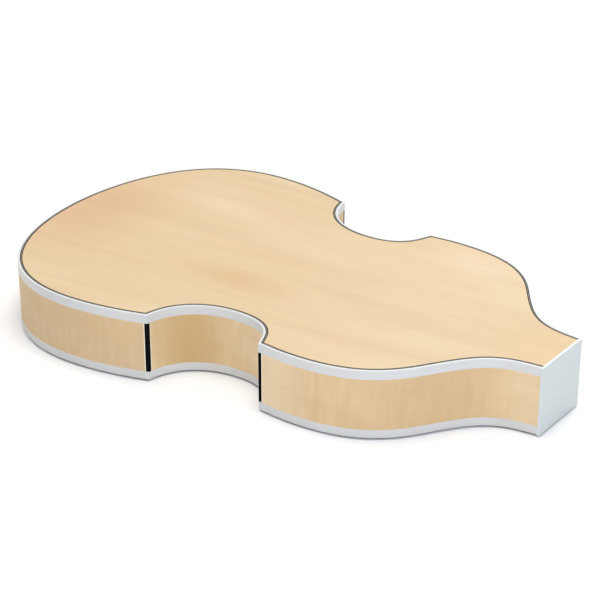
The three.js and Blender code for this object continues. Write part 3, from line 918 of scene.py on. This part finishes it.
CORNERS = {
    "lower": (RUNS["lower"], RUNS["waist"], lower_corner, lower_trim),
    "upper": (RUNS["waist"], RUNS["upper"], upper_corner, upper_trim),
}
for corner_name, (before, after, line, trim) in CORNERS.items():
    strip_node = corner_name + "_corner_strip_left"
    if corner_name == "lower":
        leg = strip_reach(strip_node, line, before, True)
    else:
        leg = strip_reach(strip_node, line, after, False)
    black_face = corner_path(before, after, line, leg, 0.0)
    black_back = corner_path(before, after, line, leg, STRIP_DEPTH)
    tip = LEG_POINTS - 1
    black_plan = eased(np.vstack([black_face, black_back[::-1]]), {tip: TIP_ROUNDING})
    outer = corner_path(before, after, line, trim, 0.0)
    inner = corner_path(before, after, line, trim, rib_depth)
    light_plan = np.vstack([outer[:1], black_face[:1], black_back, black_face[-1:],
                            outer[-1:], inner[::-1]])
    for side_name, side in SIDES.items():
        for kind, plan, slot_name, finish in (
            ("strip", black_plan, "black_corner_strip", STRIP_BLACK),
            ("pinstripe", light_plan, "white_pinstripe", PINSTRIPE_WHITE),
        ):
            node = f"{corner_name}_corner_{kind}_{side_name}"
            piece = upright_block(node + "_set", plan * [1, side], wood_low, wood_high)
            stands_for(piece, node, slot_name, finish)
    print(corner_name, "corner strip reaches, mm:", round(leg, 2))

# %% [markdown]
# ## End cap
#
# The white sheet over the neck end is sawn a little proud and filed level, which leaves its edges
# just broken. It is a box whose four edges round the outer face are eased: a rectangle carried
# through the sheet's thickness, shrunk by the easing towards the outer face.

# %% Glue on the end cap
CAP_EASING = 0.35


def eased_sheet(name, low, high, easing, steps=4):
    """Rectangles in planes of constant x. From the back of the sheet to its face, the rectangle
    shrinks by easing (1 - cos a) while x grows by easing sin a, for a from 0 to 90 degrees."""
    a = np.linspace(0, math.pi / 2, steps + 1)
    levels = np.concatenate([[low[0]], high[0] - easing + easing * np.sin(a)])
    shrink = np.concatenate([[0], easing * (1 - np.cos(a))])
    corners = np.array([[low[1], low[2]], [high[1], low[2]], [high[1], high[2]], [low[1], high[2]]])
    inwards = np.array([[1, 1], [-1, 1], [-1, -1], [1, -1]])
    rings = corners + shrink[:, None, None] * inwards
    x = np.broadcast_to(levels[:, None, None], rings.shape[:2] + (1,))
    points = np.concatenate([x, rings], axis=-1).reshape(-1, 3)
    faces = grid_faces(len(levels), 4).tolist()
    faces += [[0, 1, 2, 3], [len(points) - 4 + i for i in (3, 2, 1, 0)]]
    return new_piece(name, points, faces)


cap_low, cap_high = (np.array(corner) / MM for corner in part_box("end_cap"))
cap = eased_sheet("end_cap_sheet", cap_low - [glue, 0, 0], cap_high, CAP_EASING)
stands_for(cap, "end_cap", "white_end_cap", CAP_WHITE_PAINTED_LIGHT)
print("end cap, mm:", (cap_high - cap_low).round(2))

# %% [markdown]
# ## Inside the box
#
# The blocks, linings and bars are plain planed wood that only shows through the sound holes, so
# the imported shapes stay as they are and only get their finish.

# %% Finish the pieces inside
for node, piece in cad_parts.items():
    if piece.hide_render:
        continue
    wood = BLOCK_WOOD if "block" in node else BAR_SPRUCE
    piece.data.materials.clear()
    piece.data.materials.append(wood)
print("packed pieces still shown:", sum(not p.hide_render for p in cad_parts.values()))

# %% [markdown]
# ## Floor
#
# The box lies face down on a white paper sheet that is lit until it is pure white. A thin front
# always has a little crown, so the box rests on its middle and the rim hangs a millimetre clear.
# That gap is what draws the fine dark line under the rim.

# %% Lay the floor
FLOOR_REACH = 20.0  # in metres, to each side
RIM_GAP = 1.3 * MM
corners = [(FLOOR_REACH * x, FLOOR_REACH * y, -RIM_GAP) for x, y in ((-1, -1), (1, -1), (1, 1), (-1, 1))]
floor_mesh = bpy.data.meshes.new("floor")
floor_mesh.from_pydata(corners, [], [(0, 1, 2, 3)])
floor = bpy.data.objects.new("floor", floor_mesh)
bpy.context.scene.collection.objects.link(floor)
floor_finish, _, floor_shader = new_finish("white_paper_floor", 0.9, 1.3)
floor_shader.inputs["Base Color"].default_value = linear("#eaeaea")
floor_mesh.materials.append(floor_finish)
print("the floor lies below the rim by, mm:", round(RIM_GAP / MM, 2))

# %% [markdown]
# ## Light
#
# A wide softbox overhead does most of the work and one behind the box lifts the back. Three
# weaker ones fill the sides: warm from the tail, cool from the neck end, which is what makes the
# white bindings run from cream to bluish. A weak white world keeps the shadows open.

# %% Set the lights
world = bpy.data.worlds.new("studio")
bpy.context.scene.world = world
world.use_nodes = True
background = world.node_tree.nodes["Background"]
background.inputs["Color"].default_value = linear("#fafcff")
background.inputs["Strength"].default_value = 0.37


def softbox(name, place, aim, size, power, hex_colour):
    """A square area light at a place in metres, turned to face aim."""
    lamp = bpy.data.lights.new(name, "AREA")
    lamp.size = size
    lamp.energy = power
    lamp.color = linear(hex_colour)[:3]
    light = bpy.data.objects.new(name, lamp)
    light.location = place
    light.rotation_mode = "QUATERNION"
    light.rotation_quaternion = (Vector(aim) - Vector(place)).to_track_quat("-Z", "Y")
    bpy.context.scene.collection.objects.link(light)


# Each softbox: name, place in metres, the point it faces, width in metres, watts and colour.
SOFTBOXES = [
    ("overhead_softbox", (0.0, -0.2, 2.0), (0, 0, 0), 1.2, 28.5, "#fffefc"),
    ("back_softbox", (0.0, 1.6, 1.2), (0, 0, 0), 1.2, 21, "#ffffff"),
    ("front_softbox", (0.5, -0.9, 0.45), (0.1, 0, 0), 0.6, 3.6, "#f1f5fc"),
    ("right_softbox", (1.4, -0.3, 0.8), (0, 0, 0), 0.8, 6.2, "#d9e9ff"),
    ("left_softbox", (-1.6, 0.0, 0.9), (0, 0, 0), 1.0, 5.5, "#fff0df"),
]
for box in SOFTBOXES:
    softbox(*box)
print("softboxes:", len(SOFTBOXES))

# %% [markdown]
# ## Camera
#
# The camera looks down on the back from the right-hand side, turned towards the neck end. A long
# lens from far away keeps the near and the far edge of the box almost parallel.

# %% Set the camera
CAMERA_AZIMUTH = math.radians(35.8)
CAMERA_ELEVATION = math.radians(26.6)
CAMERA_ROLL = math.radians(0.1)
CAMERA_DISTANCE = 1453.7  # in mm, as are the other lengths here
AIM = (28.6, -40.8)  # the point on the back that the camera looks at
LENS = 117.8
SENSOR = 36.0


def place_camera():
    """The camera looks at a point on the back from a distance. Azimuth 0 looks along +Y, and a
    small roll turns the picture about the line of sight."""
    flat = math.cos(CAMERA_ELEVATION)
    backwards = Vector((math.sin(CAMERA_AZIMUTH) * flat, -math.cos(CAMERA_AZIMUTH) * flat,
                        math.sin(CAMERA_ELEVATION)))
    rightwards = Vector((math.cos(CAMERA_AZIMUTH), math.sin(CAMERA_AZIMUTH), 0))
    upwards = backwards.cross(rightwards)
    rolled_right = rightwards * math.cos(CAMERA_ROLL) + upwards * math.sin(CAMERA_ROLL)
    rolled_up = upwards * math.cos(CAMERA_ROLL) - rightwards * math.sin(CAMERA_ROLL)
    turn = Matrix((rolled_right, rolled_up, backwards)).transposed().to_4x4()
    aim = Vector((*AIM, box_high[2]))
    lens = bpy.data.cameras.new("camera")
    lens.lens = LENS
    lens.sensor_width = SENSOR
    camera = bpy.data.objects.new("camera", lens)
    camera.matrix_world = Matrix.Translation((aim + backwards * CAMERA_DISTANCE) * MM) @ turn
    bpy.context.scene.collection.objects.link(camera)
    bpy.context.scene.camera = camera


place_camera()
bpy.context.scene.view_settings.view_transform = "Standard"
print("camera stands at, m:", np.round(bpy.context.scene.camera.location, 2))
